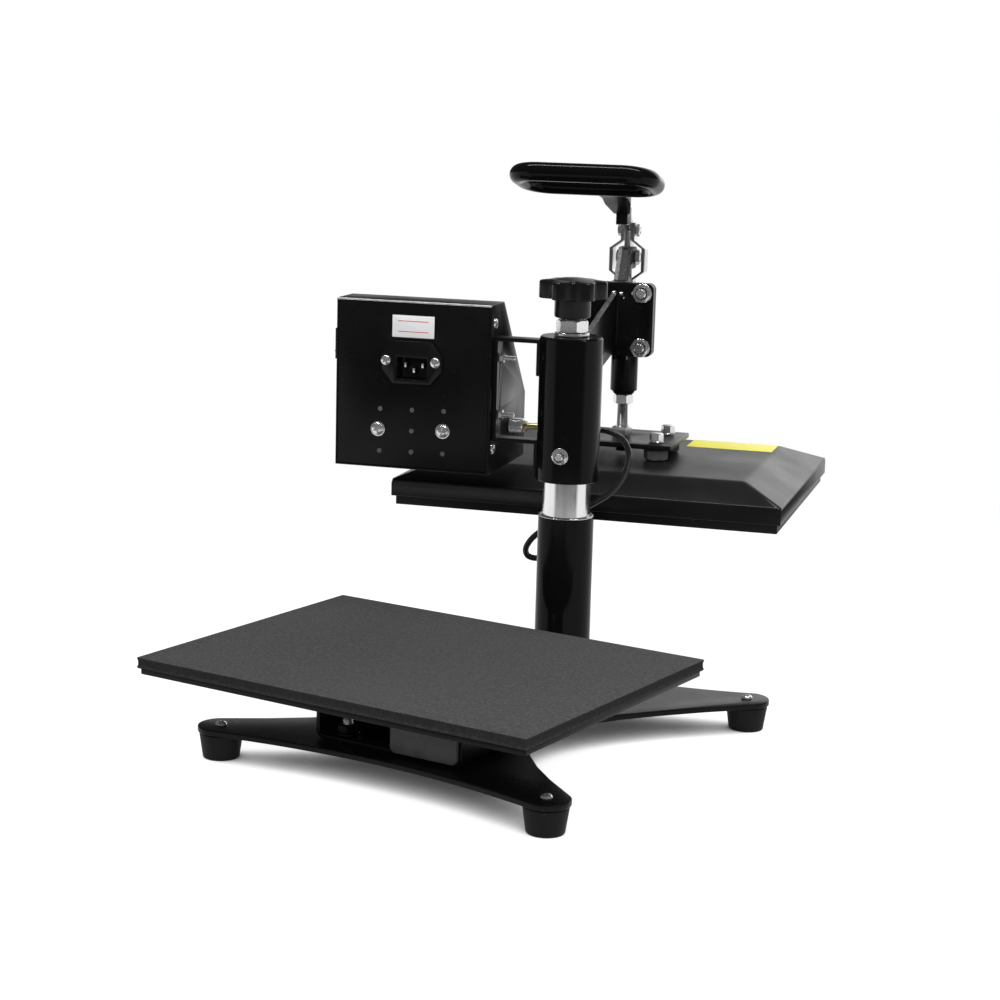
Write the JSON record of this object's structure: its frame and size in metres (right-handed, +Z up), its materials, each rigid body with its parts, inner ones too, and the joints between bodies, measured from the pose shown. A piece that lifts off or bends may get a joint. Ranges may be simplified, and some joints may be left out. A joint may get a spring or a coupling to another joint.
{
  "type": "swing-away heat press",
  "caption": "Manual heat press with a grey lower pad, a head that turns on a column, a toggle clamp, a heated platen and a control box.",
  "frame": {"origin": "centre of the bottom of the box round the whole press, on the floor", "axes": "+Z up; +X to the right of the operator, who stands on the -Y side; +Y from the lower pad towards the column. At rest the head is turned back, with its arm 16.5 degrees from +Y towards -X"},
  "size_m": [0.407, 0.6642, 0.426],
  "materials": {
    "black_paint": "satin black powder coat",
    "gloss_black_paint": "gloss black paint",
    "textured_black": "semi-matte black paint, lightly textured",
    "bright_steel": "bright, lightly brushed",
    "zinc": "bright zinc plate",
    "brass": "dull brass",
    "aluminium": "milled",
    "silicone_sponge": "matte grey sponge",
    "foot_rubber": "moulded",
    "cable_rubber": "smooth sheath",
    "black_plastic": "moulded",
    "white_plastic": "moulded",
    "red_plastic": "glossy",
    "circuit_board": "green board",
    "display_window": "dark red tinted",
    "insulation": "pressed fibre"
  },
  "bodies": {
    "base": {"base_plate": "black_paint", "foot_front_left": "foot_rubber", "foot_front_right": "foot_rubber", "foot_rear_left": "foot_rubber", "foot_rear_right": "foot_rubber", "pad_channel": "black_paint", "channel_end_plate": "black_paint", "channel_bolt": "zinc", "pad_plate": "black_paint", "lower_pad": "silicone_sponge", "lower_tube": "gloss_black_paint"},
    "post": {"column_shaft": "bright_steel", "thrust_disc": "brass"},
    "knob": {"star_knob": "black_plastic", "lift_screw": "zinc"},
    "head": {"upper_sleeve": "gloss_black_paint", "lift_nut": "zinc", "lock_bolt": "zinc", "arm_gusset": "black_paint", "arm_end_face": "black_paint", "clamp_body": "black_paint", "clamp_bolt_low_left": "zinc", "clamp_bolt_low_right": "zinc", "clamp_bolt_high_left": "zinc", "clamp_bolt_high_right": "zinc", "lever_pivot_bolt": "zinc", "box_shell": "black_paint", "box_back": "black_paint", "inlet_socket": "black_plastic", "solid_state_relay": "white_plastic", "controller_board": "circuit_board", "control_panel": "black_plastic", "display_window": "display_window", "switch_frame": "black_plastic", "box_bracket": "black_paint", "bracket_bolt_high": "zinc", "bracket_bolt_low": "zinc", "cable_connector": "brass", "heater_cable": "cable_rubber"},
    "lever": {"lever": "bright_steel", "handle_loop": "gloss_black_paint", "link_pin": "zinc"},
    "links": {"link_left": "bright_steel", "link_right": "bright_steel"},
    "platen": {"plunger": "bright_steel", "rod_nut_upper": "zinc", "rod_nut_lower": "zinc", "floating_plate": "black_paint", "platen_stud_front_left": "zinc", "platen_stud_front_right": "zinc", "platen_stud_rear_left": "zinc", "platen_stud_rear_right": "zinc", "platen_cover": "textured_black", "heating_plate": "aluminium", "insulation_sheet": "insulation", "cable_gland": "black_plastic"},
    "rocker": {"power_rocker": "red_plastic"},
    "button_set": {"button_set": "white_plastic"},
    "button_down": {"button_down": "white_plastic"},
    "button_up": {"button_up": "white_plastic"}
  },
  "joints": [
    {"name": "head_swing", "type": "hinge", "parent": "base", "child": "post", "pos_m": [0.04349, -0.01866, 0.1], "axis": [0, 0, 1], "continuous": true},
    {"name": "head_lift", "type": "slide", "parent": "post", "child": "head", "axis": [0, 0, 1], "range_m": [-0.0155, 0]},
    {"name": "knob_spin", "type": "hinge", "parent": "post", "child": "knob", "pos_m": [0.04349, -0.01866, 0.325], "axis": [0, 0, 1], "range_deg": [-2791, 0]},
    {"name": "lever_swing", "type": "hinge", "parent": "head", "child": "lever", "pos_m": [-0.01047, 0.16352, 0.3435], "axis": [-0.9588, -0.284, 0], "range_deg": [0, 160]},
    {"name": "link_swing", "type": "hinge", "parent": "lever", "child": "links", "pos_m": [-0.01047, 0.16352, 0.366], "axis": [-0.9588, -0.284, 0], "range_deg": [-151, 0]},
    {"name": "platen_slide", "type": "slide", "parent": "head", "child": "platen", "axis": [0, 0, -1], "range_m": [0, 0.0431]},
    {"name": "rocker_tilt", "type": "hinge", "parent": "head", "child": "rocker", "pos_m": [-0.1275, -0.07869, 0.282], "axis": [-0.284, 0.9588, 0], "range_deg": [-22, 0]},
    {"name": "button_set_press", "type": "slide", "parent": "head", "child": "button_set", "axis": [0.2139, -0.7222, -0.6578], "range_m": [0, 0.0015], "stiffness_N_per_m": 400, "springref_m": -0.0005},
    {"name": "button_down_press", "type": "slide", "parent": "head", "child": "button_down", "axis": [0.2139, -0.7222, -0.6578], "range_m": [0, 0.0015], "stiffness_N_per_m": 400, "springref_m": -0.0005},
    {"name": "button_up_press", "type": "slide", "parent": "head", "child": "button_up", "axis": [0.2139, -0.7222, -0.6578], "range_m": [0, 0.0015], "stiffness_N_per_m": 400, "springref_m": -0.0005}
  ],
  "couplings": [
    {"joint": "knob_spin", "follows": "head_lift", "rad_per_m": 3141.6},
    {"joint": "platen_slide", "follows": "lever_swing", "m_per_rad": 0.015409},
    {"joint": "link_swing", "follows": "lever_swing", "ratio": -0.94356}
  ]
}
